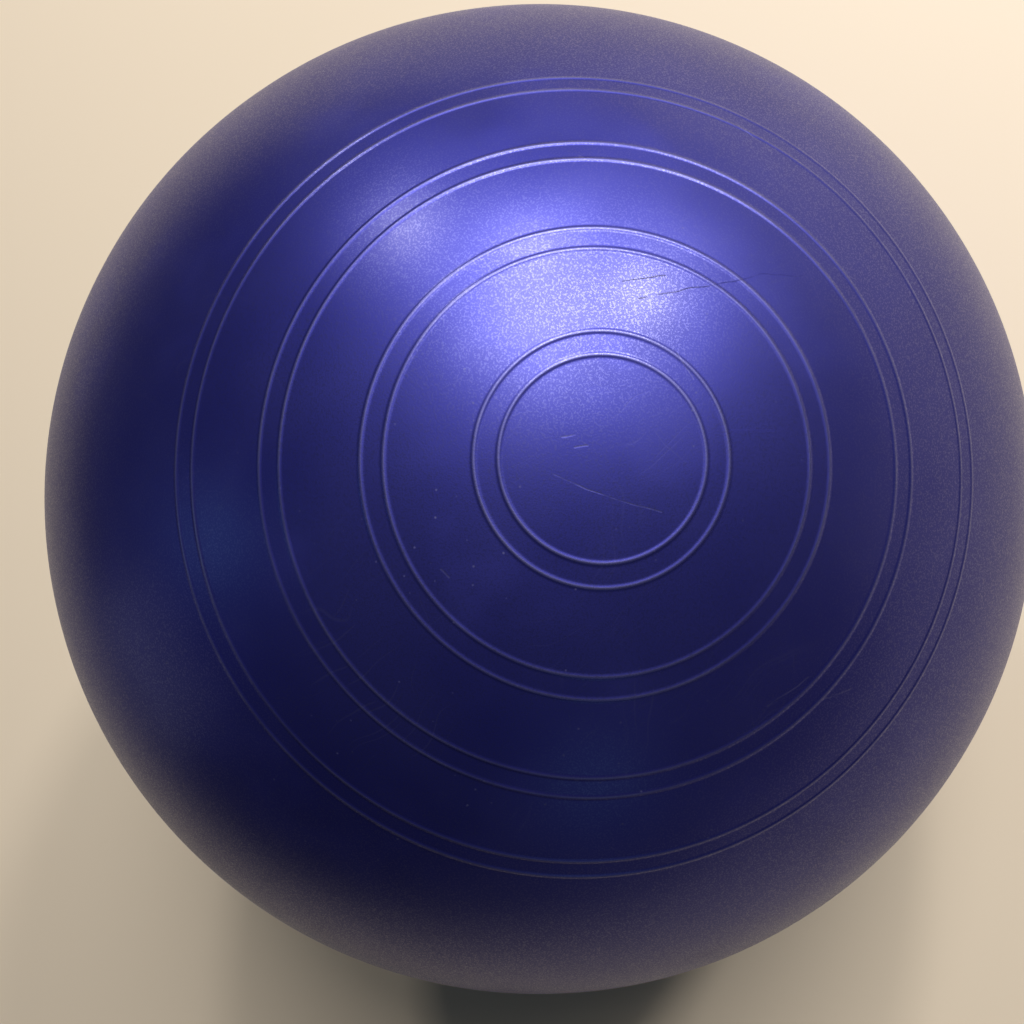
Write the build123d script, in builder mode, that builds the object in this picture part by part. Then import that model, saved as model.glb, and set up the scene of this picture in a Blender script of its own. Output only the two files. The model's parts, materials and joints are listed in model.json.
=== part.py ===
from build123d import *

import os
from math import cos, degrees, radians, sin, sqrt

# Inflated exercise ball: a hollow moulded skin with raised rings, the valve body bonded into it,
# and the stopper plug that closes the valve. It stands on the floor on the small flat that its
# own weight presses into it. Lengths are in millimetres and angles in degrees.

# Ball
BALL_DIAMETER = 650.0
WALL = 1.0
PATCH_RADIUS = 40.0  # radius of the flat it stands on
LEAN = 24.5  # how far the ringed pole leans to the front from straight up

# Raised rings, in pairs evenly spaced round both poles
RING_PAIRS = 4
RING_PITCH = 50.5  # arc from one pair to the next, and from the pole to the first
PAIR_GAP = 10.7  # arc between the two rings of a pair
RIDGE_RADIUS = 3.5
RIDGE_HEIGHT = 0.35

# Line where the two halves of the mould met
PARTING_RADIUS = 0.8
PARTING_HEIGHT = 0.25

# Valve body, measured from the ball's surface inwards
VALVE_HOLE_RADIUS = 13.0
VALVE_LENGTH = 20.0
SEAT_DEPTH = 2.6  # floor of the recess that the plug's head lies in
RECESS_RADIUS = 9.6
BORE_RADIUS = 4.2
BOSS_RADIUS = 9.0
FLANGE_RADIUS = 22.0
FLANGE_THICKNESS = 1.5
BOND_GAP = 0.05

# Stopper plug
HEAD_RADIUS = 8.6
HEAD_THICKNESS = 2.2
HEAD_EDGE = 0.6
STEM_RADIUS = 3.5
STEM_LENGTH = 17.5
TIP_CHAMFER = 1.6
SEAL_RADIUS = 4.15
SEAL_WIDTH = 1.8
SEAL_COUNT = 3
SEAL_PITCH = 4.6
NOTCH_WIDTH = 5.0
NOTCH_DEPTH = 1.4
NOTCH_HEIGHT = 0.9

# The frame stands on the floor, with its origin in the middle of the flat
ball_radius = BALL_DIAMETER / 2
inner_radius = ball_radius - WALL
centre = Vector(0, 0, sqrt(ball_radius**2 - PATCH_RADIUS**2))
pole = Vector(0, -sin(radians(LEAN)), cos(radians(LEAN)))
pole_axis = Axis(origin=centre, direction=pole)

# Half-sections are drawn on the axial plane, whose Y runs to the ringed pole. The valve is at the
# opposite pole, and the valve plane looks out through it from the ball's centre.
axial_plane = Plane(origin=centre, x_dir=(1, 0, 0), z_dir=Vector(1, 0, 0).cross(pole))
valve_plane = Plane(origin=centre, x_dir=(1, 0, 0), z_dir=pole * -1)
seat_level = ball_radius - SEAT_DEPTH


def at_angle(radius, angle):
    """Point of the axial plane at this radius and this angle from the ringed pole."""
    return (radius * sin(radians(angle)), radius * cos(radians(angle)))


def by_valve(radius, offset):
    """Point of the axial plane on a sphere of this radius, offset from the valve's axis."""
    return (offset, -sqrt(radius**2 - offset**2))


def ring_angles():
    """Angles of the rings from the ringed pole, for both halves of the ball."""
    pitch = degrees(RING_PITCH / ball_radius)
    half_gap = degrees(PAIR_GAP / ball_radius) / 2
    upper = [pitch * (pair + 1) + side for pair in range(RING_PAIRS) for side in (-half_gap, half_gap)]
    return upper + [180 - angle for angle in upper]


os.makedirs("parts", exist_ok=True)

# Air space inside the skin, kept one wall above the floor
with BuildPart() as air_space:
    with BuildSketch(axial_plane):
        with BuildLine():
            CenterArc((0, 0), inner_radius, -90, 180)
            Line((0, -inner_radius), (0, inner_radius))
        make_face()
    revolve(axis=pole_axis)
    split(bisect_by=Plane.XY.offset(WALL), keep=Keep.TOP)

# Skin, with its rings and its parting line, and the hole that the valve body closes
with BuildPart() as ball_skin:
    with BuildSketch(axial_plane):
        with BuildLine():
            CenterArc((0, 0), ball_radius, -90, 180)
            Line((0, -ball_radius), (0, ball_radius))
        make_face()
        ridge_centre_radius = ball_radius + RIDGE_HEIGHT - RIDGE_RADIUS
        with Locations(*[at_angle(ridge_centre_radius, angle) for angle in ring_angles()]):
            Circle(RIDGE_RADIUS)
        with Locations(at_angle(ball_radius + PARTING_HEIGHT - PARTING_RADIUS, 90)):
            Circle(PARTING_RADIUS)
    revolve(axis=pole_axis)
    split(bisect_by=Plane.XY, keep=Keep.TOP)
    add(air_space.part, mode=Mode.SUBTRACT)
    with BuildSketch(valve_plane):
        Circle(VALVE_HOLE_RADIUS)
    extrude(amount=BALL_DIAMETER, mode=Mode.SUBTRACT)
ball_skin.part.label = "ball_skin"
export_step(ball_skin.part, "parts/ball_skin.step")

# Valve body: a disc flush with the skin, a flange bonded under it and a boss with the bore
with BuildPart() as valve_body:
    rim = VALVE_HOLE_RADIUS - BOND_GAP
    flange_top = inner_radius - BOND_GAP
    flange_foot = flange_top - FLANGE_THICKNESS
    boss_end = ball_radius - VALVE_LENGTH
    rim_middle = (RECESS_RADIUS + rim) / 2
    flange_middle = (rim + FLANGE_RADIUS) / 2
    foot_middle = (BOSS_RADIUS + FLANGE_RADIUS) / 2
    with BuildSketch(axial_plane):
        with BuildLine():
            Polyline(
                by_valve(ball_radius, RECESS_RADIUS),
                (RECESS_RADIUS, -seat_level),
                (BORE_RADIUS, -seat_level),
                (BORE_RADIUS, -boss_end),
                (BOSS_RADIUS, -boss_end),
                by_valve(flange_foot, BOSS_RADIUS),
            )
            ThreePointArc(
                by_valve(flange_foot, BOSS_RADIUS),
                by_valve(flange_foot, foot_middle),
                by_valve(flange_foot, FLANGE_RADIUS),
            )
            Line(by_valve(flange_foot, FLANGE_RADIUS), by_valve(flange_top, FLANGE_RADIUS))
            ThreePointArc(
                by_valve(flange_top, FLANGE_RADIUS),
                by_valve(flange_top, flange_middle),
                by_valve(flange_top, rim),
            )
            Line(by_valve(flange_top, rim), by_valve(ball_radius, rim))
            ThreePointArc(
                by_valve(ball_radius, rim),
                by_valve(ball_radius, rim_middle),
                by_valve(ball_radius, RECESS_RADIUS),
            )
        make_face()
    revolve(axis=pole_axis)
valve_body.part.label = "valve_body"
export_step(valve_body.part, "parts/valve_body.step")

# Stopper plug: a head that lies in the recess, and a stem with sealing rings in the bore
with BuildPart() as valve_plug:
    with BuildSketch(valve_plane.offset(seat_level)):
        Circle(HEAD_RADIUS)
    extrude(amount=HEAD_THICKNESS)
    head_top = valve_plug.faces().sort_by(Axis(centre, pole * -1))[-1]
    fillet(head_top.edges(), radius=HEAD_EDGE)
    with BuildSketch(valve_plane.offset(seat_level - STEM_LENGTH)):
        Circle(STEM_RADIUS)
    extrude(amount=STEM_LENGTH)
    stem_tip = valve_plug.faces().sort_by(Axis(centre, pole * -1))[0]
    chamfer(stem_tip.edges(), length=TIP_CHAMFER)
    for seal in range(SEAL_COUNT):
        with BuildSketch(valve_plane.offset(seat_level - SEAL_PITCH * seal - SEAL_WIDTH)):
            Circle(SEAL_RADIUS)
        extrude(amount=SEAL_WIDTH)
    with BuildSketch(valve_plane.offset(seat_level)):
        with Locations((0, HEAD_RADIUS)):
            Rectangle(NOTCH_WIDTH, 2 * NOTCH_DEPTH)
    extrude(amount=NOTCH_HEIGHT, mode=Mode.SUBTRACT)
valve_plug.part.label = "valve_plug"
export_step(valve_plug.part, "parts/valve_plug.step")
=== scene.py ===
"""Looks of an inflated exercise ball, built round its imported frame.

The ball is a satin, pearl-blue PVC skin with pairs of raised rings round both poles. A valve body
and a stopper plug sit in the skin at the far pole. Lengths are in metres and angles in degrees.
"""

import json
import logging
import math
from dataclasses import dataclass, field
from enum import Enum
from typing import Callable

import bmesh
import bpy
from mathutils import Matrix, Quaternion, Vector

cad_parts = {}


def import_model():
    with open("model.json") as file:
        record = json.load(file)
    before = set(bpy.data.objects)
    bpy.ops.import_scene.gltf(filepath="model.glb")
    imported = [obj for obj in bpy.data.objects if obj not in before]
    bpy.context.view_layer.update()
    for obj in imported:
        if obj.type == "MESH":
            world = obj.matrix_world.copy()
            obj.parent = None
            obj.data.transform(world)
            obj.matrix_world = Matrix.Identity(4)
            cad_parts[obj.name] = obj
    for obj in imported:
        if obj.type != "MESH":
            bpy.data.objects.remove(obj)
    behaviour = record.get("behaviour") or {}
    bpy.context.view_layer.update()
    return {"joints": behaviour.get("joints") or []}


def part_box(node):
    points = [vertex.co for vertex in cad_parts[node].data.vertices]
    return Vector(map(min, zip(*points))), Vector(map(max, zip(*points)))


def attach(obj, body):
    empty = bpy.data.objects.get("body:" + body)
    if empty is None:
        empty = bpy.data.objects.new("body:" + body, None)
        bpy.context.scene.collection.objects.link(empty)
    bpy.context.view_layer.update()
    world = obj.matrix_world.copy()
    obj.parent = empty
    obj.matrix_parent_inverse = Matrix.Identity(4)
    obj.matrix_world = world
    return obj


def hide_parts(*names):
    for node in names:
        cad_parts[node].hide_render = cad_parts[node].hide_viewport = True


log = logging.getLogger("exercise_ball")

Colour = tuple[float, float, float]
Profile = list[tuple[float, float]]
MM = 0.001
SHARP_ANGLE = math.radians(40)
MERGE_DISTANCE = 0.002 * MM
DEGENERATE_LENGTH = 0.001 * MM


# --------------------------------------------------------------------------------------------------
# The ball's own frame
# --------------------------------------------------------------------------------------------------


@dataclass(frozen=True)
class BallFrame:
    """Centre, radius and poles of the ball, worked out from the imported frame.

    Attributes:
        centre: Middle of the ball.
        radius: Radius of the plain skin between its rings.
        pole: Unit vector to the ringed pole that looks up.
    """

    centre: Vector
    radius: float
    pole: Vector

    @classmethod
    def from_packed(cls, joints: list, parting_height: float, flat_radius: float) -> "BallFrame":
        """Reads the ball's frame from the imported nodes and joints.

        Args:
            joints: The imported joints, of which the plug's gives the valve's direction.
            parting_height: How far the parting line stands out of the skin.
            flat_radius: Radius of the flat that the ball stands on.

        Returns:
            The frame that every piece is placed by.
        """
        low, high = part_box("ball_skin")
        radius = (high.x - low.x) / 2 - parting_height
        height = math.sqrt(radius**2 - flat_radius**2)
        centre = Vector(((low.x + high.x) / 2, (low.y + high.y) / 2, height))
        pull = next(joint for joint in joints if joint["name"] == "plug_pull")
        return cls(centre=centre, radius=radius, pole=-Vector(pull["axis"]).normalized())

    @property
    def across(self) -> Vector:
        """Unit vector square to the pole, level with the floor."""
        return Vector((1, 0, 0))

    @property
    def along(self) -> Vector:
        """Unit vector square to the pole and to the level one."""
        return self.pole.cross(self.across)

    def direction(self, polar: float, around: float) -> Vector:
        """Unit vector at these angles from the pole and around it."""
        turn, tilt = math.radians(around), math.radians(polar)
        side = self.across * math.cos(turn) + self.along * math.sin(turn)
        return self.pole * math.cos(tilt) + side * math.sin(tilt)

    def at_arc(self, arc: float, lift: float = 0.0) -> Vector:
        """Point at this arc length from the ringed pole, lifted off the plain skin."""
        angle = arc / self.radius
        out = self.pole * math.cos(angle) + self.across * math.sin(angle)
        return self.centre + out * (self.radius + lift)

    def by_valve(self, offset: float, depth: float) -> Vector:
        """Point beside the valve's axis.

        Args:
            offset: Distance from the axis.
            depth: Distance along the axis inwards from the plain skin at the valve.

        Returns:
            The point, in the plane that every profile is drawn in.
        """
        return self.centre - self.pole * (self.radius - depth) + self.across * offset

    def depth_at(self, offset: float, under: float = 0.0) -> float:
        """Depth below the valve's pole of a sphere that lies this far under the skin."""
        return self.radius - math.sqrt((self.radius - under) ** 2 - offset**2)


# --------------------------------------------------------------------------------------------------
# Mesh helpers
# --------------------------------------------------------------------------------------------------


def spin_outline(
    outline: list[Vector], closed: bool, ball: BallFrame, steps: int
) -> bmesh.types.BMesh:
    """Turns an outline once round the ball's axis.

    Args:
        outline: Points in one half-plane through the axis.
        closed: Whether the last point joins the first.
        ball: The frame whose axis the outline turns round.
        steps: Number of faces round the axis.

    Returns:
        The turned surface, with its poles merged and its faces pointing outwards.
    """
    bm = bmesh.new()
    verts = [bm.verts.new(point) for point in outline]
    edges = [bm.edges.new(pair) for pair in zip(verts, verts[1:])]
    if closed:
        edges.append(bm.edges.new((verts[-1], verts[0])))
    bmesh.ops.spin(
        bm,
        geom=verts + edges,
        cent=ball.centre,
        axis=ball.pole,
        angle=math.tau,
        steps=steps,
        use_merge=True,
        use_duplicate=False,
    )
    bmesh.ops.remove_doubles(bm, verts=bm.verts, dist=MERGE_DISTANCE)
    bmesh.ops.dissolve_degenerate(bm, edges=bm.edges, dist=DEGENERATE_LENGTH)
    bmesh.ops.recalc_face_normals(bm, faces=bm.faces)
    return bm


def round_corners(bm: bmesh.types.BMesh, width: float, segments: int) -> None:
    """Rounds the edges where a turned piece changes direction sharply.

    Args:
        bm: The mesh to round.
        width: How far the rounding reaches from each edge.
        segments: Number of faces across the rounding.
    """
    bmesh.ops.bevel(
        bm,
        geom=[edge for edge in bm.edges if edge.calc_face_angle(0) > SHARP_ANGLE],
        offset=width,
        offset_type="OFFSET",
        affect="EDGES",
        segments=segments,
        profile=0.5,
        material=-1,
        clamp_overlap=True,
    )


def make_piece(name: str, bm: bmesh.types.BMesh, material: bpy.types.Material) -> bpy.types.Object:
    """Makes a smooth-shaded object of a finished mesh and frees the mesh.

    Args:
        name: The piece's name.
        bm: The finished mesh, in its place.
        material: The finish that covers it.

    Returns:
        The object, linked to the scene.
    """
    mesh = bpy.data.meshes.new(name)
    bm.to_mesh(mesh)
    bm.free()
    mesh.polygons.foreach_set("use_smooth", [True] * len(mesh.polygons))
    mesh.set_sharp_from_angle(angle=SHARP_ANGLE)
    mesh.materials.append(material)
    piece = bpy.data.objects.new(name, mesh)
    bpy.context.scene.collection.objects.link(piece)
    log.info("%s: %d faces", name, len(mesh.polygons))
    return piece


# --------------------------------------------------------------------------------------------------
# Shader helpers
# --------------------------------------------------------------------------------------------------


class Graph:
    """Adds and links nodes in one node tree."""

    def __init__(self, tree: bpy.types.NodeTree) -> None:
        """Starts on a tree.

        Args:
            tree: The node tree to add to.
        """
        self.tree = tree

    def feed(self, socket: bpy.types.NodeSocket, value: object) -> None:
        """Links a socket to another, or sets its value."""
        if isinstance(value, bpy.types.NodeSocket):
            self.tree.links.new(value, socket)
        else:
            socket.default_value = value

    def node(self, kind: str, inputs: dict | None = None, **settings: object) -> bpy.types.Node:
        """Adds a node.

        Args:
            kind: The node's type name.
            inputs: Values or sockets by input name or index.
            **settings: Properties of the node.

        Returns:
            The node.
        """
        made = self.tree.nodes.new(kind)
        for name, value in settings.items():
            setattr(made, name, value)
        for key, value in (inputs or {}).items():
            self.feed(made.inputs[key], value)
        return made

    def math(self, operation: str, *values: object, clamp: bool = False) -> bpy.types.NodeSocket:
        """Adds a Math node and returns its result."""
        inputs = dict(enumerate(values))
        return self.node("ShaderNodeMath", inputs, operation=operation, use_clamp=clamp).outputs[0]

    def vector(self, operation: str, *values: object) -> bpy.types.Node:
        """Adds a Vector Math node and returns it."""
        return self.node("ShaderNodeVectorMath", dict(enumerate(values)), operation=operation)

    def scaled(self, vector: object, factor: object) -> bpy.types.NodeSocket:
        """Multiplies a vector by a number."""
        inputs = {0: vector, "Scale": factor}
        return self.node("ShaderNodeVectorMath", inputs, operation="SCALE").outputs[0]

    def ramp(
        self, value: object, low: object, high: object, start: float = 0.0, end: float = 1.0
    ) -> bpy.types.NodeSocket:
        """Maps low..high smoothly to start..end.

        Args:
            value: The number to map.
            low: Where the result is start.
            high: Where the result is end.
            start: Result at low.
            end: Result at high.

        Returns:
            The mapped number.
        """
        inputs = {"Value": value, "From Min": low, "From Max": high, "To Min": start, "To Max": end}
        made = self.node("ShaderNodeMapRange", inputs, interpolation_type="SMOOTHSTEP", clamp=True)
        return made.outputs["Result"]

    def noise_colour(self, vector: object, scale: float, detail: float) -> bpy.types.NodeSocket:
        """Adds a Noise Texture and returns its colour, three numbers that change on their own."""
        inputs = {"Vector": vector, "Scale": scale, "Detail": detail}
        return self.node("ShaderNodeTexNoise", inputs).outputs["Color"]

    def noise(
        self, vector: object, scale: object, detail: float, roughness: float = 0.5
    ) -> bpy.types.NodeSocket:
        """Adds a Noise Texture and returns its number."""
        inputs = {"Vector": vector, "Scale": scale, "Detail": detail, "Roughness": roughness}
        return self.node("ShaderNodeTexNoise", inputs).outputs[0]

    def blend(self, factor: object, first: object, second: object) -> bpy.types.NodeSocket:
        """Mixes two colours and returns the mixture."""
        inputs = {0: factor, 6: first, 7: second}
        return self.node("ShaderNodeMix", inputs, data_type="RGBA").outputs[2]

    def place(self) -> bpy.types.NodeSocket:
        """Adds the position in the object's own coordinates."""
        return self.node("ShaderNodeTexCoord").outputs["Object"]

    def bumped(self, height: bpy.types.NodeSocket, depth: float) -> bpy.types.NodeSocket:
        """Adds a Bump node of this depth and returns its normal."""
        inputs = {"Height": height, "Distance": depth, "Strength": 1.0}
        return self.node("ShaderNodeBump", inputs).outputs[0]


def opaque(colour: Colour) -> tuple[float, float, float, float]:
    """Adds the alpha value that a colour socket takes."""
    return (*colour, 1.0)


class Effect(Enum):
    """Shared surface effects, each a node group built once."""

    GRAIN = "Moulded grain"
    CLOUD = "Soft cloud"
    STREAK = "Streak"
    HAIRLINES = "Hairlines"
    SPECKS = "Specks"


def start_group(
    effect: Effect, inputs: dict[str, float | None], outputs: list[str]
) -> tuple[bpy.types.NodeTree, Graph, bpy.types.Node, bpy.types.Node]:
    """Makes an empty node group with its sockets.

    Args:
        effect: The effect, whose value names the group.
        inputs: Default of each number input, or None for a vector input.
        outputs: Names of the number outputs.

    Returns:
        The group, its graph, the group's input node and its output node.
    """
    group = bpy.data.node_groups.new(effect.value, "ShaderNodeTree")
    for name, default in inputs.items():
        kind = "NodeSocketVector" if default is None else "NodeSocketFloat"
        socket = group.interface.new_socket(name=name, in_out="INPUT", socket_type=kind)
        if default is not None:
            socket.default_value = default
    for name in outputs:
        group.interface.new_socket(name=name, in_out="OUTPUT", socket_type="NodeSocketFloat")
    graph = Graph(group)
    return group, graph, graph.node("NodeGroupInput"), graph.node("NodeGroupOutput")


def build_grain() -> bpy.types.NodeTree:
    """Fine leathery grain of a moulded surface: a height, and a mask of its high spots."""
    inputs = {"Vector": None, "Scale": 900.0}
    group, g, given, out = start_group(Effect.GRAIN, inputs, ["Height", "High spots"])
    fine = g.noise(given.outputs["Vector"], given.outputs["Scale"], 2.0, 0.55)
    coarse_scale = g.math("MULTIPLY", given.outputs["Scale"], 0.37)
    coarse = g.noise(given.outputs["Vector"], coarse_scale, 1.0)
    height = g.math("ADD", g.math("MULTIPLY", fine, 0.7), g.math("MULTIPLY", coarse, 0.3))
    g.feed(out.inputs["Height"], height)
    g.feed(out.inputs["High spots"], g.ramp(fine, 0.50, 0.62))
    return group


def build_cloud() -> bpy.types.NodeTree:
    """Slow change over the surface: a mask from 0 to 1."""
    inputs = {"Vector": None, "Scale": 5.0, "Low": 0.35, "High": 0.65}
    group, g, given, out = start_group(Effect.CLOUD, inputs, ["Mask"])
    cloud = g.noise(given.outputs["Vector"], given.outputs["Scale"], 3.0, 0.55)
    g.feed(out.inputs["Mask"], g.ramp(cloud, given.outputs["Low"], given.outputs["High"]))
    return group


def build_streak() -> bpy.types.NodeTree:
    """A rubbed line on a ball, from one point to another: a mask that breaks up along its length.

    The points and the position are given from the ball's centre.
    """
    inputs = {"Vector": None, "Start": None, "End": None}
    inputs |= {"Width": 0.001, "Wander": 0.004, "Break": 0.3}
    group, g, given, out = start_group(Effect.STREAK, inputs, ["Mask"])
    place = given.outputs["Vector"]
    wobble = g.vector("SUBTRACT", g.noise_colour(place, 60.0, 1.0), (0.5, 0.5, 0.5)).outputs[0]
    shift = g.scaled(wobble, given.outputs["Wander"])
    moved = g.vector("ADD", place, shift).outputs[0]
    run = g.vector("SUBTRACT", given.outputs["End"], given.outputs["Start"]).outputs[0]
    ahead = g.vector("SUBTRACT", moved, given.outputs["Start"]).outputs[0]
    dot = g.vector("DOT_PRODUCT", ahead, run).outputs["Value"]
    length_squared = g.vector("DOT_PRODUCT", run, run).outputs["Value"]
    share = g.math("DIVIDE", dot, length_squared, clamp=True)
    chord_point = g.vector("ADD", given.outputs["Start"], g.scaled(run, share)).outputs[0]
    unit = g.vector("NORMALIZE", chord_point).outputs[0]
    radius = g.vector("LENGTH", moved).outputs["Value"]
    distance = g.vector("DISTANCE", g.scaled(unit, radius), moved).outputs["Value"]
    inner = g.math("MULTIPLY", given.outputs["Width"], 0.25)
    line = g.ramp(distance, inner, given.outputs["Width"], 1.0, 0.0)
    patchy = g.noise(place, 90.0, 3.0)
    broken = g.ramp(patchy, given.outputs["Break"], g.math("ADD", given.outputs["Break"], 0.3))
    g.feed(out.inputs["Mask"], g.math("MULTIPLY", line, broken))
    return group


def build_hairlines() -> bpy.types.NodeTree:
    """Sparse fine scratches that run mostly one way: a mask from 0 to 1."""
    inputs = {"Vector": None, "Turn": None, "Scale": 1.0, "Amount": 0.5}
    group, g, given, out = start_group(Effect.HAIRLINES, inputs, ["Mask"])
    bend = g.noise_colour(given.outputs["Vector"], 14.0, 2.0)
    bent = g.vector("ADD", given.outputs["Vector"], g.scaled(bend, 0.05)).outputs[0]
    turning = {"Vector": bent, "Rotation": given.outputs["Turn"]}
    turned = g.node("ShaderNodeVectorRotate", turning, rotation_type="EULER_XYZ").outputs[0]
    stretched = g.vector("MULTIPLY", turned, (22.0, 1100.0, 22.0)).outputs[0]
    lines = g.noise(g.scaled(stretched, given.outputs["Scale"]), 1.0, 0.0)
    low = g.ramp(given.outputs["Amount"], 0.0, 1.0, 0.78, 0.66)
    line = g.ramp(lines, low, g.math("ADD", low, 0.05))
    patches = g.ramp(g.noise(given.outputs["Vector"], 12.0, 2.0), 0.46, 0.66)
    g.feed(out.inputs["Mask"], g.math("MULTIPLY", line, patches))
    return group


def build_specks() -> bpy.types.NodeTree:
    """Scattered small specks, thicker in some places: a mask from 0 to 1."""
    inputs = {"Vector": None, "Scale": 300.0, "Amount": 0.5}
    group, g, given, out = start_group(Effect.SPECKS, inputs, ["Mask"])
    pattern = {"Vector": given.outputs["Vector"], "Scale": given.outputs["Scale"]}
    cells = g.node("ShaderNodeTexVoronoi", pattern)
    dot = g.ramp(cells.outputs["Distance"], 0.05, 0.2, 1.0, 0.0)
    picked = g.node("ShaderNodeSeparateColor", {0: cells.outputs["Color"]}).outputs[0]
    chosen = g.math("LESS_THAN", picked, g.math("MULTIPLY", given.outputs["Amount"], 0.2))
    drift = g.ramp(g.noise(given.outputs["Vector"], 7.0, 2.0), 0.42, 0.62)
    g.feed(out.inputs["Mask"], g.math("MULTIPLY", g.math("MULTIPLY", dot, chosen), drift))
    return group


BUILDERS: dict[Effect, Callable[[], bpy.types.NodeTree]] = {
    Effect.GRAIN: build_grain,
    Effect.CLOUD: build_cloud,
    Effect.STREAK: build_streak,
    Effect.HAIRLINES: build_hairlines,
    Effect.SPECKS: build_specks,
}


def place_effect(graph: Graph, effect: Effect, inputs: dict) -> bpy.types.Node:
    """Adds a shared effect to a material, building its group the first time.

    Args:
        graph: The material's graph.
        effect: Which effect.
        inputs: Values or sockets for the group's inputs.

    Returns:
        The group's node.
    """
    tree = bpy.data.node_groups.get(effect.value) or BUILDERS[effect]()
    made = graph.tree.nodes.new("ShaderNodeGroup")
    made.node_tree = tree
    for name, value in inputs.items():
        graph.feed(made.inputs[name], value)
    return made


def start_material(name: str) -> tuple[bpy.types.Material, Graph, bpy.types.Node]:
    """Makes a material with an empty graph.

    Args:
        name: The material's name.

    Returns:
        The material, its graph and its Principled shader.
    """
    material = bpy.data.materials.new(name)
    material.use_nodes = True
    material.node_tree.nodes.clear()
    graph = Graph(material.node_tree)
    shader = graph.node("ShaderNodeBsdfPrincipled")
    graph.node("ShaderNodeOutputMaterial", {"Surface": shader.outputs[0]})
    return material, graph, shader


# --------------------------------------------------------------------------------------------------
# Finishes
# --------------------------------------------------------------------------------------------------


class Mark(Enum):
    """Kinds of wear mark on the skin."""

    DARK_RUB = "dark rub"
    PALE_SCRATCH = "pale scratch"


@dataclass(frozen=True)
class WearMark:
    """One line of wear between two places on the ball.

    Attributes:
        kind: What the line looks like.
        start: Angles from the pole and around it, where the line starts.
        end: The same, where it ends.
        width: Half the line's width.
    """

    kind: Mark
    start: tuple[float, float]
    end: tuple[float, float]
    width: float = 0.5 * MM


WEAR_MARKS = (
    WearMark(Mark.DARK_RUB, (13, -21), (16, -38)),
    WearMark(Mark.DARK_RUB, (16, -38), (20.5, -49)),
    WearMark(Mark.DARK_RUB, (20.5, -49), (24, -56)),
    WearMark(Mark.DARK_RUB, (14.1, -15), (15.6, -27)),
    WearMark(Mark.DARK_RUB, (10, -84), (14, -88)),
    WearMark(Mark.PALE_SCRATCH, (3.6, 58), (2.8, 44), 0.6 * MM),
    WearMark(Mark.PALE_SCRATCH, (2.4, 64), (1.5, 46), 0.6 * MM),
    WearMark(Mark.PALE_SCRATCH, (4.1, 101), (2.6, 165)),
    WearMark(Mark.PALE_SCRATCH, (2.6, 165), (6, -140)),
    WearMark(Mark.PALE_SCRATCH, (24.5, -152), (25, -142), 0.6 * MM),
    WearMark(Mark.PALE_SCRATCH, (27.4, -144), (29.5, -138), 0.6 * MM),
    WearMark(Mark.PALE_SCRATCH, (15, 117), (14.9, 120), 0.6 * MM),
    WearMark(Mark.PALE_SCRATCH, (34.8, -32), (33.7, -38), 0.6 * MM),
    WearMark(Mark.PALE_SCRATCH, (19, 17), (17.3, 8)),
    WearMark(Mark.PALE_SCRATCH, (10.4, -40), (9.4, -56)),
)


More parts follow.
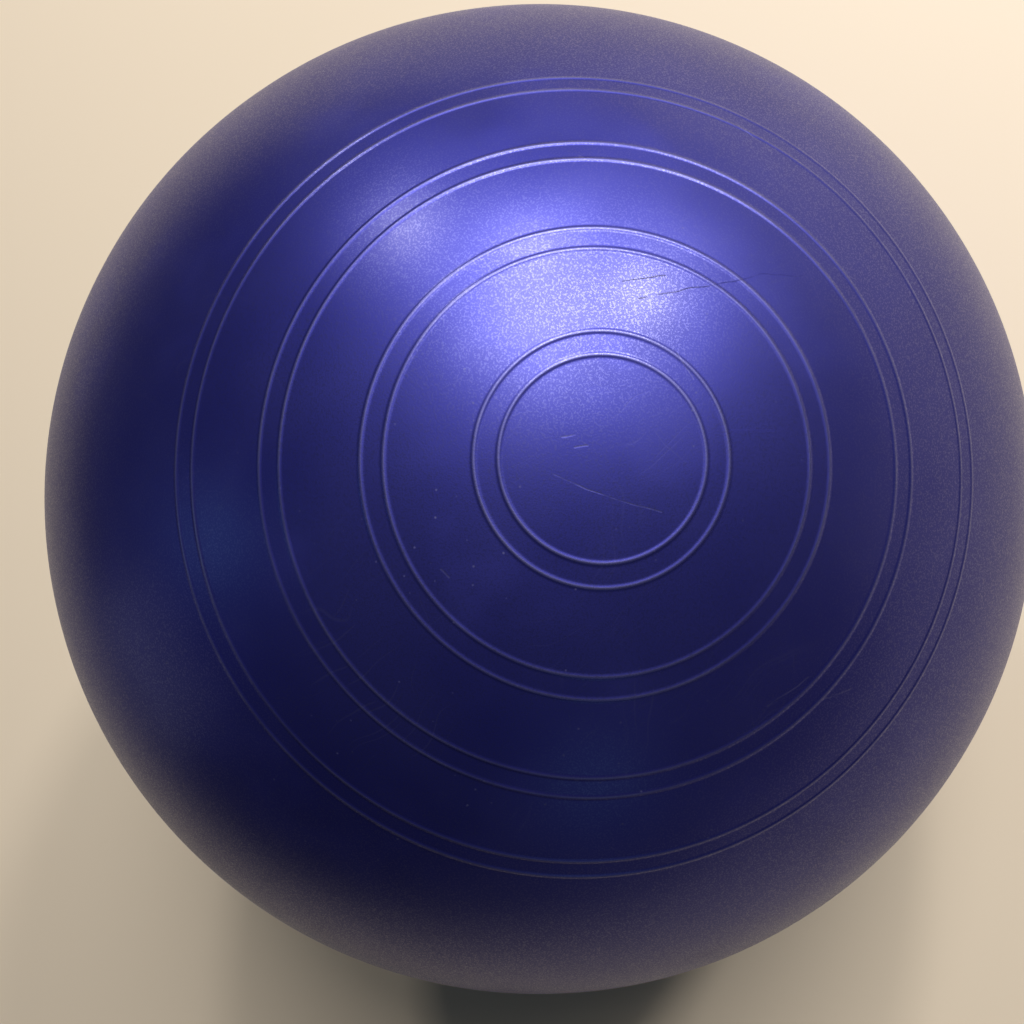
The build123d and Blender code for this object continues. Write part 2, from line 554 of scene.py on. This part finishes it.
@dataclass(frozen=True)
class SkinFinish:
    """Satin pearl-blue PVC with moulded grain, paler ring tops, wear marks and a little dust.

    Attributes:
        deep: Colour of the skin's darker clouds.
        bright: Colour of its brighter clouds.
        pale_tint: Colour of the paler ring tops and of the pale scratches.
        dark_rub: Colour of the dark rubs.
        dust: Colour of the dust specks.
        edge_tint: Colour of the metallic base at glancing angles.
        metallic: How far the base is made of metallic flakes.
        roughness: Roughness of the plain skin.
        smear: Change of roughness from the glossiest smear to the dullest.
        glint_gloss: Roughness lost on the grain's high spots.
        rub_roughness: Roughness added by dark rubs and dust.
        coat: Weight of the clear coat on the grain's high spots.
        coat_low: Share of that weight left between them.
        coat_rubbed: Share of the coat that a dark rub takes off.
        coat_roughness: Roughness of the clear coat.
        grain_scale: Scale of the moulded grain.
        grain_depth: Depth of the moulded grain.
        ring_paling: Least and most share of the paler colour on the ring tops.
        mark_strength: How far scratches and rubs change the colour.
        hairline_strength: Strength of hairlines beside that of the single scratches.
        speck_strength: How far dust changes the colour.
        scratch_depth: Depth of a scratch as a share of the grain's depth.
    """

    deep: Colour = (0.026, 0.028, 0.235)
    bright: Colour = (0.041, 0.043, 0.268)
    pale_tint: Colour = (0.17, 0.17, 0.36)
    dark_rub: Colour = (0.006, 0.006, 0.05)
    dust: Colour = (0.22, 0.22, 0.30)
    edge_tint: Colour = (0.42, 0.42, 0.46)
    metallic: float = 0.88
    roughness: float = 0.5
    smear: tuple[float, float] = (-0.03, 0.06)
    glint_gloss: float = 0.07
    rub_roughness: float = 0.25
    coat: float = 1.0
    coat_low: float = 0.4
    coat_rubbed: float = 0.5
    coat_roughness: float = 0.3
    grain_scale: float = 1150.0
    grain_depth: float = 0.05 * MM
    ring_paling: tuple[float, float] = (0.28, 0.55)
    mark_strength: float = 0.3
    hairline_strength: float = 0.35
    speck_strength: float = 0.4
    scratch_depth: float = 0.6

    def build(self, ball: BallFrame) -> bpy.types.Material:
        """Makes the material.

        Args:
            ball: The frame that the wear marks are placed by.

        Returns:
            The material.
        """
        material, g, shader = start_material("Skin PVC")
        place = g.place()
        from_centre = g.vector("SUBTRACT", place, tuple(ball.centre)).outputs[0]
        pale = self.marks_mask(g, ball, from_centre, Mark.PALE_SCRATCH)
        pale = g.math("MAXIMUM", pale, self.hairlines(g, place))
        dark = self.marks_mask(g, ball, from_centre, Mark.DARK_RUB)
        dusty = {"Vector": place, "Scale": 260.0, "Amount": 0.4}
        specks = place_effect(g, Effect.SPECKS, dusty).outputs["Mask"]
        grain = place_effect(g, Effect.GRAIN, {"Vector": place, "Scale": self.grain_scale})
        high_spots = grain.outputs["High spots"]

        g.feed(shader.inputs["Base Color"], self.colour(g, place, pale, dark, specks))

        smears = {"Vector": place, "Scale": 11.0, "Low": 0.45, "High": 0.75}
        smear = place_effect(g, Effect.CLOUD, smears).outputs["Mask"]
        gloss, dull = (self.roughness + change for change in self.smear)
        rough = g.ramp(smear, 0.0, 1.0, gloss, dull)
        rough = g.math("ADD", rough, g.math("MULTIPLY", high_spots, -self.glint_gloss))
        soiled = g.math("MULTIPLY", g.math("MAXIMUM", dark, specks), self.rub_roughness)
        g.feed(shader.inputs["Roughness"], g.math("ADD", rough, soiled, clamp=True))

        sparkle = g.ramp(high_spots, 0.0, 1.0, self.coat * self.coat_low, self.coat)
        kept = g.math("SUBTRACT", 1.0, g.math("MULTIPLY", dark, self.coat_rubbed))
        g.feed(shader.inputs["Coat Weight"], g.math("MULTIPLY", sparkle, kept))

        scratches = g.math("MULTIPLY", pale, self.scratch_depth)
        height = g.math("SUBTRACT", grain.outputs["Height"], scratches)
        g.feed(shader.inputs["Normal"], g.bumped(height, self.grain_depth))
        shader.inputs["Metallic"].default_value = self.metallic
        shader.inputs["Specular Tint"].default_value = opaque(self.edge_tint)
        shader.inputs["Coat Roughness"].default_value = self.coat_roughness
        return material

    def colour(
        self,
        g: Graph,
        place: bpy.types.NodeSocket,
        pale: bpy.types.NodeSocket,
        dark: bpy.types.NodeSocket,
        specks: bpy.types.NodeSocket,
    ) -> bpy.types.NodeSocket:
        """Colours the clouded skin, its ring tops, scratches, rubs and dust.

        Args:
            g: The material's graph.
            place: Position in the object's own coordinates.
            pale: Mask of the scratches.
            dark: Mask of the dark rubs.
            specks: Mask of the dust.

        Returns:
            The colour.
        """
        cloud = place_effect(g, Effect.CLOUD, {"Vector": place, "Scale": 6.0}).outputs["Mask"]
        colour = g.blend(cloud, opaque(self.deep), opaque(self.bright))
        patches = {"Vector": place, "Scale": 14.0, "Low": 0.3, "High": 0.7}
        patchy = place_effect(g, Effect.CLOUD, patches).outputs["Mask"]
        # Ring tops get a paler colour, by a share that changes in patches.
        raised = g.node("ShaderNodeAttribute", attribute_name="raised", attribute_type="GEOMETRY")
        tops = g.ramp(raised.outputs["Fac"], 0.5, 1.0)
        ring_paling = g.math("MULTIPLY", tops, g.ramp(patchy, 0.0, 1.0, *self.ring_paling))
        colour = g.blend(ring_paling, colour, opaque(self.pale_tint))
        for mask, strength, tint in (
            (pale, self.mark_strength, self.pale_tint),
            (dark, self.mark_strength, self.dark_rub),
            (specks, self.speck_strength, self.dust),
        ):
            colour = g.blend(g.math("MULTIPLY", mask, strength), colour, opaque(tint))
        return colour

    def hairlines(self, g: Graph, place: bpy.types.NodeSocket) -> bpy.types.NodeSocket:
        """Masks two sets of hairlines that cross each other."""
        fine = {"Vector": place, "Turn": (0.4, 0.2, 1.1), "Scale": 1.0, "Amount": 0.5}
        crossing = {"Vector": place, "Turn": (1.9, 0.7, 0.3), "Scale": 0.8, "Amount": 0.4}
        sets = [place_effect(g, Effect.HAIRLINES, inputs) for inputs in (fine, crossing)]
        either = g.math("MAXIMUM", *(lines.outputs["Mask"] for lines in sets))
        return g.math("MULTIPLY", either, self.hairline_strength)

    @staticmethod
    def marks_mask(
        g: Graph, ball: BallFrame, place: bpy.types.NodeSocket, kind: Mark
    ) -> bpy.types.NodeSocket:
        """Masks every wear mark of one kind.

        Args:
            g: The material's graph.
            ball: The frame that the marks are placed by.
            place: Position from the ball's centre.
            kind: Which marks.

        Returns:
            The largest of the marks' masks.
        """
        mask = None
        for mark in (m for m in WEAR_MARKS if m.kind is kind):
            start, end = (tuple(ball.direction(*at) * ball.radius) for at in (mark.start, mark.end))
            inputs = {"Vector": place, "Start": start, "End": end, "Width": mark.width}
            line = place_effect(g, Effect.STREAK, inputs).outputs["Mask"]
            mask = line if mask is None else g.math("MAXIMUM", mask, line)
        return mask


@dataclass(frozen=True)
class ValveFinish:
    """Smoother and glossier PVC of the bonded valve body."""

    colour: Colour = (0.028, 0.029, 0.215)
    worn: Colour = (0.10, 0.11, 0.36)
    edge_wear: float = 0.5
    metallic: float = 0.3
    roughness: float = 0.36
    smear: tuple[float, float] = (-0.04, 0.08)
    grain_scale: float = 2200.0
    grain_depth: float = 0.02 * MM

    def build(self) -> bpy.types.Material:
        """Makes the material."""
        material, g, shader = start_material("Valve PVC")
        place = g.place()
        cloud = place_effect(g, Effect.CLOUD, {"Vector": place, "Scale": 90.0}).outputs["Mask"]
        edge = g.ramp(g.node("ShaderNodeNewGeometry").outputs["Pointiness"], 0.52, 0.60)
        worn = g.math("MULTIPLY", edge, self.edge_wear)
        g.feed(shader.inputs["Base Color"], g.blend(worn, opaque(self.colour), opaque(self.worn)))
        gloss, dull = (self.roughness + change for change in self.smear)
        g.feed(shader.inputs["Roughness"], g.ramp(cloud, 0.0, 1.0, gloss, dull))
        grain = place_effect(g, Effect.GRAIN, {"Vector": place, "Scale": self.grain_scale})
        g.feed(shader.inputs["Normal"], g.bumped(grain.outputs["Height"], self.grain_depth))
        shader.inputs["Metallic"].default_value = self.metallic
        return material


@dataclass(frozen=True)
class PlugFinish:
    """Slightly translucent white plastic of the stopper plug, with clouds and specks of grime."""

    colour: Colour = (0.82, 0.82, 0.79)
    grime: Colour = (0.42, 0.40, 0.36)
    cloud_strength: float = 0.18
    speck_strength: float = 0.35
    roughness: float = 0.4
    smear: float = 0.12
    grain_scale: float = 2600.0
    grain_depth: float = 0.012 * MM
    translucency: float = 0.15
    translucent_depth: float = 1.5 * MM

    def build(self) -> bpy.types.Material:
        """Makes the material."""
        material, g, shader = start_material("Plug plastic")
        place = g.place()
        clouds = {"Vector": place, "Scale": 160.0, "Low": 0.4, "High": 0.8}
        cloud = place_effect(g, Effect.CLOUD, clouds).outputs["Mask"]
        specked = {"Vector": place, "Scale": 1500.0, "Amount": 0.8}
        specks = place_effect(g, Effect.SPECKS, specked).outputs["Mask"]
        clouded = g.math("MULTIPLY", cloud, self.cloud_strength)
        dirt = g.math("MAXIMUM", clouded, g.math("MULTIPLY", specks, self.speck_strength))
        g.feed(shader.inputs["Base Color"], g.blend(dirt, opaque(self.colour), opaque(self.grime)))
        rough = g.ramp(cloud, 0.0, 1.0, self.roughness, self.roughness + self.smear)
        g.feed(shader.inputs["Roughness"], rough)
        grain = place_effect(g, Effect.GRAIN, {"Vector": place, "Scale": self.grain_scale})
        g.feed(shader.inputs["Normal"], g.bumped(grain.outputs["Height"], self.grain_depth))
        shader.inputs["Subsurface Weight"].default_value = self.translucency
        shader.inputs["Subsurface Scale"].default_value = self.translucent_depth
        return material


@dataclass(frozen=True)
class FloorFinish:
    """Plain pale floor."""

    colour: Colour = (0.75, 0.64, 0.50)
    roughness: float = 0.6

    def build(self) -> bpy.types.Material:
        """Makes the material."""
        material, _, shader = start_material("Floor")
        shader.inputs["Base Color"].default_value = opaque(self.colour)
        shader.inputs["Roughness"].default_value = self.roughness
        return material


# --------------------------------------------------------------------------------------------------
# Pieces
# --------------------------------------------------------------------------------------------------


@dataclass
class Crest:
    """A raised line round the ball.

    Attributes:
        arc: Arc length of its middle from the ringed pole.
        height: How far it stands out of the skin.
        half_width: Arc length from its middle to its foot.
    """

    arc: float
    height: float
    half_width: float

    def outline(self, points: int, apron: float) -> Profile:
        """Arc and lift of points across the crest.

        Args:
            points: Number of points from foot to foot.
            apron: Plain arc kept on each side, which keeps the shading of the skin beside it even.

        Returns:
            The points, in order from the ringed pole.
        """
        reach = self.half_width + apron
        across = [(self.arc - reach, 0.0)]
        for i in range(points):
            share = 2 * i / (points - 1) - 1
            lift = self.height * math.cos(math.pi * share / 2) ** 2
            across.append((self.arc + self.half_width * share, lift))
        return [*across, (self.arc + reach, 0.0)]


@dataclass
class BallSkin:
    """The moulded skin, with its rings, its parting line and the hole for the valve body."""

    wall: float = 1.0 * MM
    ring_pairs: int = 4
    ring_pitch: float = 50.5 * MM
    pair_gap: float = 10.7 * MM
    ring_height: float = 0.35 * MM
    ring_half_width: float = 1.75 * MM
    parting_height: float = 0.25 * MM
    parting_half_width: float = 1.2 * MM
    hole_radius: float = 13.0 * MM
    flat_radius: float = 40.0 * MM
    plain_step: float = 16.0 * MM
    inner_step: float = 40.0 * MM
    crest_points: int = 9
    crest_apron: float = 0.5 * MM
    steps: int = 320
    finish: SkinFinish = field(default_factory=SkinFinish)

    def crests(self, ball: BallFrame) -> list[Crest]:
        """Rings of both halves and the parting line, in order from the ringed pole."""
        half = math.pi * ball.radius
        upper = [
            self.ring_pitch * (pair + 1) + side * self.pair_gap / 2
            for pair in range(self.ring_pairs)
            for side in (-1, 1)
        ]
        arcs = upper + [half - arc for arc in reversed(upper)]
        rings = [Crest(arc, self.ring_height, self.ring_half_width) for arc in arcs]
        parting = Crest(half / 2, self.parting_height, self.parting_half_width)
        return sorted(rings + [parting], key=lambda crest: crest.arc)

    def outer_outline(self, ball: BallFrame) -> Profile:
        """Arc and lift of the outline's points from the ringed pole to the valve's hole."""
        end = ball.radius * (math.pi - math.asin(self.hole_radius / ball.radius))
        line = [(0.0, 0.0)]
        stops = [crest.outline(self.crest_points, self.crest_apron) for crest in self.crests(ball)]
        stops.append([(end, 0.0)])
        for stop in stops:
            start, goal = line[-1][0], stop[0][0]
            pieces = max(1, math.ceil((goal - start) / self.plain_step))
            line += [(start + (goal - start) * i / pieces, 0.0) for i in range(1, pieces)]
            line += stop
        return line

    def build(self, ball: BallFrame) -> bpy.types.Object:
        """Turns the skin, sets it on the floor and dresses it.

        Args:
            ball: The frame that the skin is placed by.

        Returns:
            The skin.
        """
        outer = [ball.at_arc(arc, lift) for arc, lift in self.outer_outline(ball)]
        end = ball.radius * (math.pi - math.asin(self.hole_radius / (ball.radius - self.wall)))
        pieces = math.ceil(end / self.inner_step)
        inner = [ball.at_arc(end * (1 - i / pieces), -self.wall) for i in range(pieces + 1)]
        bm = spin_outline(outer + inner, False, ball, self.steps)
        self.set_on_floor(bm, ball)
        skin = make_piece("skin", bm, self.finish.build(ball))
        self.store_raised(skin, ball)
        return skin

    def set_on_floor(self, bm: bmesh.types.BMesh, ball: BallFrame) -> None:
        """Presses the underside flat, the inner face one wall above the outer one."""
        for vert in bm.verts:
            inside = (vert.co - ball.centre).length < ball.radius - self.wall / 2
            vert.co.z = max(vert.co.z, self.wall if inside else 0.0)

    def store_raised(self, skin: bpy.types.Object, ball: BallFrame) -> None:
        """Stores how far each point stands out of the plain skin, as a share of a ring's height."""
        raised = skin.data.attributes.new("raised", "FLOAT", "POINT")
        lifts = [(vert.co - ball.centre).length - ball.radius for vert in skin.data.vertices]
        shares = [min(1.0, max(0.0, lift / self.ring_height)) for lift in lifts]
        raised.data.foreach_set("value", shares)


@dataclass
class ValveBody:
    """The insert bonded into the skin: a disc, a flange under it, and a boss with the bore."""

    rim_radius: float = 12.95 * MM
    recess_radius: float = 9.6 * MM
    seat_depth: float = 2.6 * MM
    bore_radius: float = 4.2 * MM
    boss_radius: float = 9.0 * MM
    length: float = 20.0 * MM
    flange_radius: float = 22.0 * MM
    flange_depth: float = 1.05 * MM
    flange_thickness: float = 1.5 * MM
    corner: float = 0.35 * MM
    corner_segments: int = 3
    steps: int = 96
    finish: ValveFinish = field(default_factory=ValveFinish)

    def build(self, ball: BallFrame) -> bpy.types.Object:
        """Turns the valve body and dresses it.

        Args:
            ball: The frame that it is placed by.

        Returns:
            The valve body.
        """
        foot = self.flange_depth + self.flange_thickness
        outline = [
            (self.recess_radius, ball.depth_at(self.recess_radius)),
            (self.recess_radius, self.seat_depth),
            (self.bore_radius, self.seat_depth),
            (self.bore_radius, self.length),
            (self.boss_radius, self.length),
            (self.boss_radius, ball.depth_at(self.boss_radius, foot)),
            (self.flange_radius, ball.depth_at(self.flange_radius, foot)),
            (self.flange_radius, ball.depth_at(self.flange_radius, self.flange_depth)),
            (self.rim_radius, ball.depth_at(self.rim_radius, self.flange_depth)),
            (self.rim_radius, ball.depth_at(self.rim_radius)),
        ]
        points = [ball.by_valve(offset, depth) for offset, depth in outline]
        bm = spin_outline(points, True, ball, self.steps)
        round_corners(bm, self.corner, self.corner_segments)
        return make_piece("valve_insert", bm, self.finish.build())


@dataclass
class ValvePlug:
    """The stopper plug: a dished head with a nail notch, and a stem with rounded sealing rings."""

    seat_depth: float = 2.6 * MM
    head_radius: float = 8.6 * MM
    head_thickness: float = 2.2 * MM
    head_edge: float = 0.6 * MM
    edge_steps: int = 6
    dish_radius: float = 5.6 * MM
    dish_slope: float = 0.4 * MM
    dish_depth: float = 0.35 * MM
    stem_radius: float = 3.5 * MM
    stem_length: float = 17.5 * MM
    tip_chamfer: float = 1.6 * MM
    seal_radius: float = 4.15 * MM
    seal_width: float = 1.8 * MM
    seal_count: int = 3
    seal_pitch: float = 4.6 * MM
    seal_steps: int = 8
    notch_half_angle: float = 17.0
    notch_depth: float = 1.6 * MM
    notch_height: float = 0.9 * MM
    level_slack: float = 0.01 * MM
    edge_slack: float = 0.1 * MM
    steps: int = 96
    finish: PlugFinish = field(default_factory=PlugFinish)

    def outline(self) -> Profile:
        """Offset and depth of the outline's points, from the middle of the head to the tip."""
        top = self.seat_depth - self.head_thickness
        dish = top + self.dish_depth
        points = [(0.0, dish), (self.dish_radius - self.dish_slope, dish), (self.dish_radius, top)]
        for i in range(self.edge_steps + 1):
            turn = math.pi / 2 * i / self.edge_steps
            across = self.head_radius - self.head_edge * (1 - math.sin(turn))
            points.append((across, top + self.head_edge * (1 - math.cos(turn))))
        points.append((self.head_radius, self.seat_depth))
        points.append((self.head_radius - self.notch_depth, self.seat_depth))
        for seal in range(self.seal_count):
            points += self.seal_outline(self.seat_depth + self.seal_pitch * seal)
        tip = self.seat_depth + self.stem_length
        points.append((self.stem_radius, tip - self.tip_chamfer))
        return [*points, (self.stem_radius - self.tip_chamfer, tip), (0.0, tip)]

    def seal_outline(self, start: float) -> Profile:
        """Offset and depth of the points of one sealing ring, rounded on both sides."""
        rise = self.seal_radius - self.stem_radius
        points = [(self.stem_radius, start)]
        for i in range(1, self.seal_steps):
            turn = math.pi * i / self.seal_steps
            depth = start + self.seal_width * (1 - math.cos(turn)) / 2
            points.append((self.stem_radius + rise * math.sin(turn), depth))
        return [*points, (self.stem_radius, start + self.seal_width)]

    def build(self, ball: BallFrame) -> bpy.types.Object:
        """Turns the plug, lifts its nail notch and dresses it.

        Args:
            ball: The frame that it is placed by.

        Returns:
            The plug.
        """
        points = [ball.by_valve(offset, depth) for offset, depth in self.outline()]
        bm = spin_outline(points, False, ball, self.steps)
        self.lift_notch(bm, ball)
        return make_piece("stopper_plug", bm, self.finish.build())

    def lift_notch(self, bm: bmesh.types.BMesh, ball: BallFrame) -> None:
        """Lifts part of the head's underside, to let a nail in."""
        seat = ball.radius - self.seat_depth
        for vert in bm.verts:
            out = vert.co - ball.centre
            height = -out.dot(ball.pole)
            flat = out + ball.pole * height
            level = abs(height - seat) < self.level_slack
            at_edge = flat.length > self.head_radius - self.edge_slack
            if not (level and at_edge):
                continue
            if flat.angle(-ball.along) < math.radians(self.notch_half_angle):
                vert.co -= ball.pole * self.notch_height


# --------------------------------------------------------------------------------------------------
# Stage, light and camera
# --------------------------------------------------------------------------------------------------


@dataclass
class Stage:
    """Round pale floor that the ball stands on."""

    radius: float = 4.5
    segments: int = 192
    finish: FloorFinish = field(default_factory=FloorFinish)

    def build(self) -> None:
        """Lays the floor."""
        bm = bmesh.new()
        bmesh.ops.create_circle(bm, cap_ends=True, segments=self.segments, radius=self.radius)
        floor = make_piece("floor", bm, self.finish.build())


@dataclass(frozen=True)
class Softbox:
    """One soft light that faces the ball.

    Attributes:
        name: The light's name.
        around: Direction to it over the floor, counted from +X towards +Y.
        height: Its angle above the floor.
        distance: Distance from the ball's centre.
        size: Side of its square face.
        power: Watts.
        colour: Its colour.
    """

    name: str
    around: float
    height: float
    distance: float
    size: float
    power: float
    colour: Colour = (1.0, 0.97, 0.93)

    def build(self, ball: BallFrame) -> None:
        """Hangs the light, facing the ball's centre."""
        around, height = math.radians(self.around), math.radians(self.height)
        level = math.cos(height)
        back = Vector((math.cos(around) * level, math.sin(around) * level, math.sin(height)))
        light = bpy.data.lights.new(self.name, "AREA")
        light.shape = "SQUARE"
        light.size = self.size
        light.energy = self.power
        light.color = self.colour
        lamp = bpy.data.objects.new(self.name, light)
        lamp.location = ball.centre + back * self.distance
        lamp.rotation_mode = "QUATERNION"
        lamp.rotation_quaternion = (-back).to_track_quat("-Z", "Y")
        bpy.context.scene.collection.objects.link(lamp)


SOFTBOXES = (
    Softbox("key", -34.0, 47.5, 5.0, 2.2, 212.0),
    Softbox("spot_right", -48.0, 32.5, 5.0, 0.5, 105.0),
    Softbox("spot_middle", -22.0, 37.0, 5.0, 0.4, 50.0),
    Softbox("spot_left", 6.0, 33.5, 5.0, 0.45, 50.0),
    Softbox("fill_back", 90.0, 41.0, 5.0, 1.0, 4.5, (0.30, 0.65, 1.0)),
    Softbox("fill_left", 194.0, 26.0, 5.0, 1.0, 2.5, (0.35, 0.70, 1.0)),
    Softbox("fill_low", 105.0, 12.0, 5.0, 2.0, 4.0),
)


@dataclass
class Studio:
    """Soft light all round.

    Attributes:
        sky: Colour of the light from all round.
        strength: Its strength.
        backdrop: Colour that the camera sees behind the ball.
        softboxes: The lights.
    """

    sky: Colour = (0.82, 0.86, 0.92)
    strength: float = 0.036
    backdrop: Colour = (0.72, 0.70, 0.68)
    softboxes: tuple[Softbox, ...] = SOFTBOXES

    def build(self, ball: BallFrame) -> None:
        """Sets the world's light, with a pale backdrop behind the ball, and hangs the softboxes."""
        world = bpy.data.worlds.new("Studio")
        world.use_nodes = True
        world.node_tree.nodes.clear()
        graph = Graph(world.node_tree)
        glow = {"Color": opaque(self.sky), "Strength": self.strength}
        light = graph.node("ShaderNodeBackground", glow).outputs[0]
        wall = {"Color": opaque(self.backdrop), "Strength": 1.0}
        seen = graph.node("ShaderNodeBackground", wall).outputs[0]
        is_seen = graph.node("ShaderNodeLightPath").outputs["Is Camera Ray"]
        either = graph.node("ShaderNodeMixShader", {0: is_seen, 1: light, 2: seen})
        graph.node("ShaderNodeOutputWorld", {"Surface": either.outputs[0]})
        bpy.context.scene.world = world
        bpy.context.scene.view_settings.view_transform = "Standard"
        for softbox in self.softboxes:
            softbox.build(ball)


@dataclass(frozen=True)
class HandCamera:
    """Camera held above the ball, slightly to its front, and turned on its side.

    Attributes:
        offset: Place from the ball's centre, in ball radii.
        around: Direction it looks in over the floor, counted from +X towards +Y.
        drop: Angle that it looks down by.
        roll: Turn about its own axis.
        lens: Focal length in millimetres.
        sensor: Width of the sensor in millimetres.
    """

    offset: tuple[float, float, float] = (-0.1077, -0.7887, 2.3034)
    around: float = 83.82
    drop: float = 69.73
    roll: float = -91.93
    lens: float = 38.67
    sensor: float = 36.0

    def build(self, ball: BallFrame) -> None:
        """Places the camera and makes it the scene's."""
        around, drop = math.radians(self.around), math.radians(self.drop)
        level = math.cos(drop)
        ahead = Vector((math.cos(around) * level, math.sin(around) * level, -math.sin(drop)))
        lens = bpy.data.cameras.new("camera")
        lens.lens = self.lens
        lens.sensor_width = self.sensor
        camera = bpy.data.objects.new("camera", lens)
        camera.location = ball.centre + Vector(self.offset) * ball.radius
        camera.rotation_mode = "QUATERNION"
        turn = Quaternion((0, 0, 1), math.radians(self.roll))
        camera.rotation_quaternion = ahead.to_track_quat("-Z", "Y") @ turn
        bpy.context.scene.collection.objects.link(camera)
        bpy.context.scene.camera = camera


# --------------------------------------------------------------------------------------------------


def main() -> None:
    """Builds every piece in order."""
    logging.basicConfig(level=logging.INFO, format="%(name)s: %(message)s")
    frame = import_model()

    skin = BallSkin()
    ball = BallFrame.from_packed(frame["joints"], skin.parting_height, skin.flat_radius)
    log.info("ball radius %.1f mm", ball.radius / MM)

    skin_piece = skin.build(ball)
    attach(skin_piece, "ball")
    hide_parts("ball_skin")

    insert = ValveBody().build(ball)
    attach(insert, "ball")
    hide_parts("valve_body")

    plug = ValvePlug().build(ball)
    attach(plug, "plug")
    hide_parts("valve_plug")

    Stage().build()
    Studio().build(ball)
    HandCamera().build(ball)


if __name__ == "__main__":
    main()
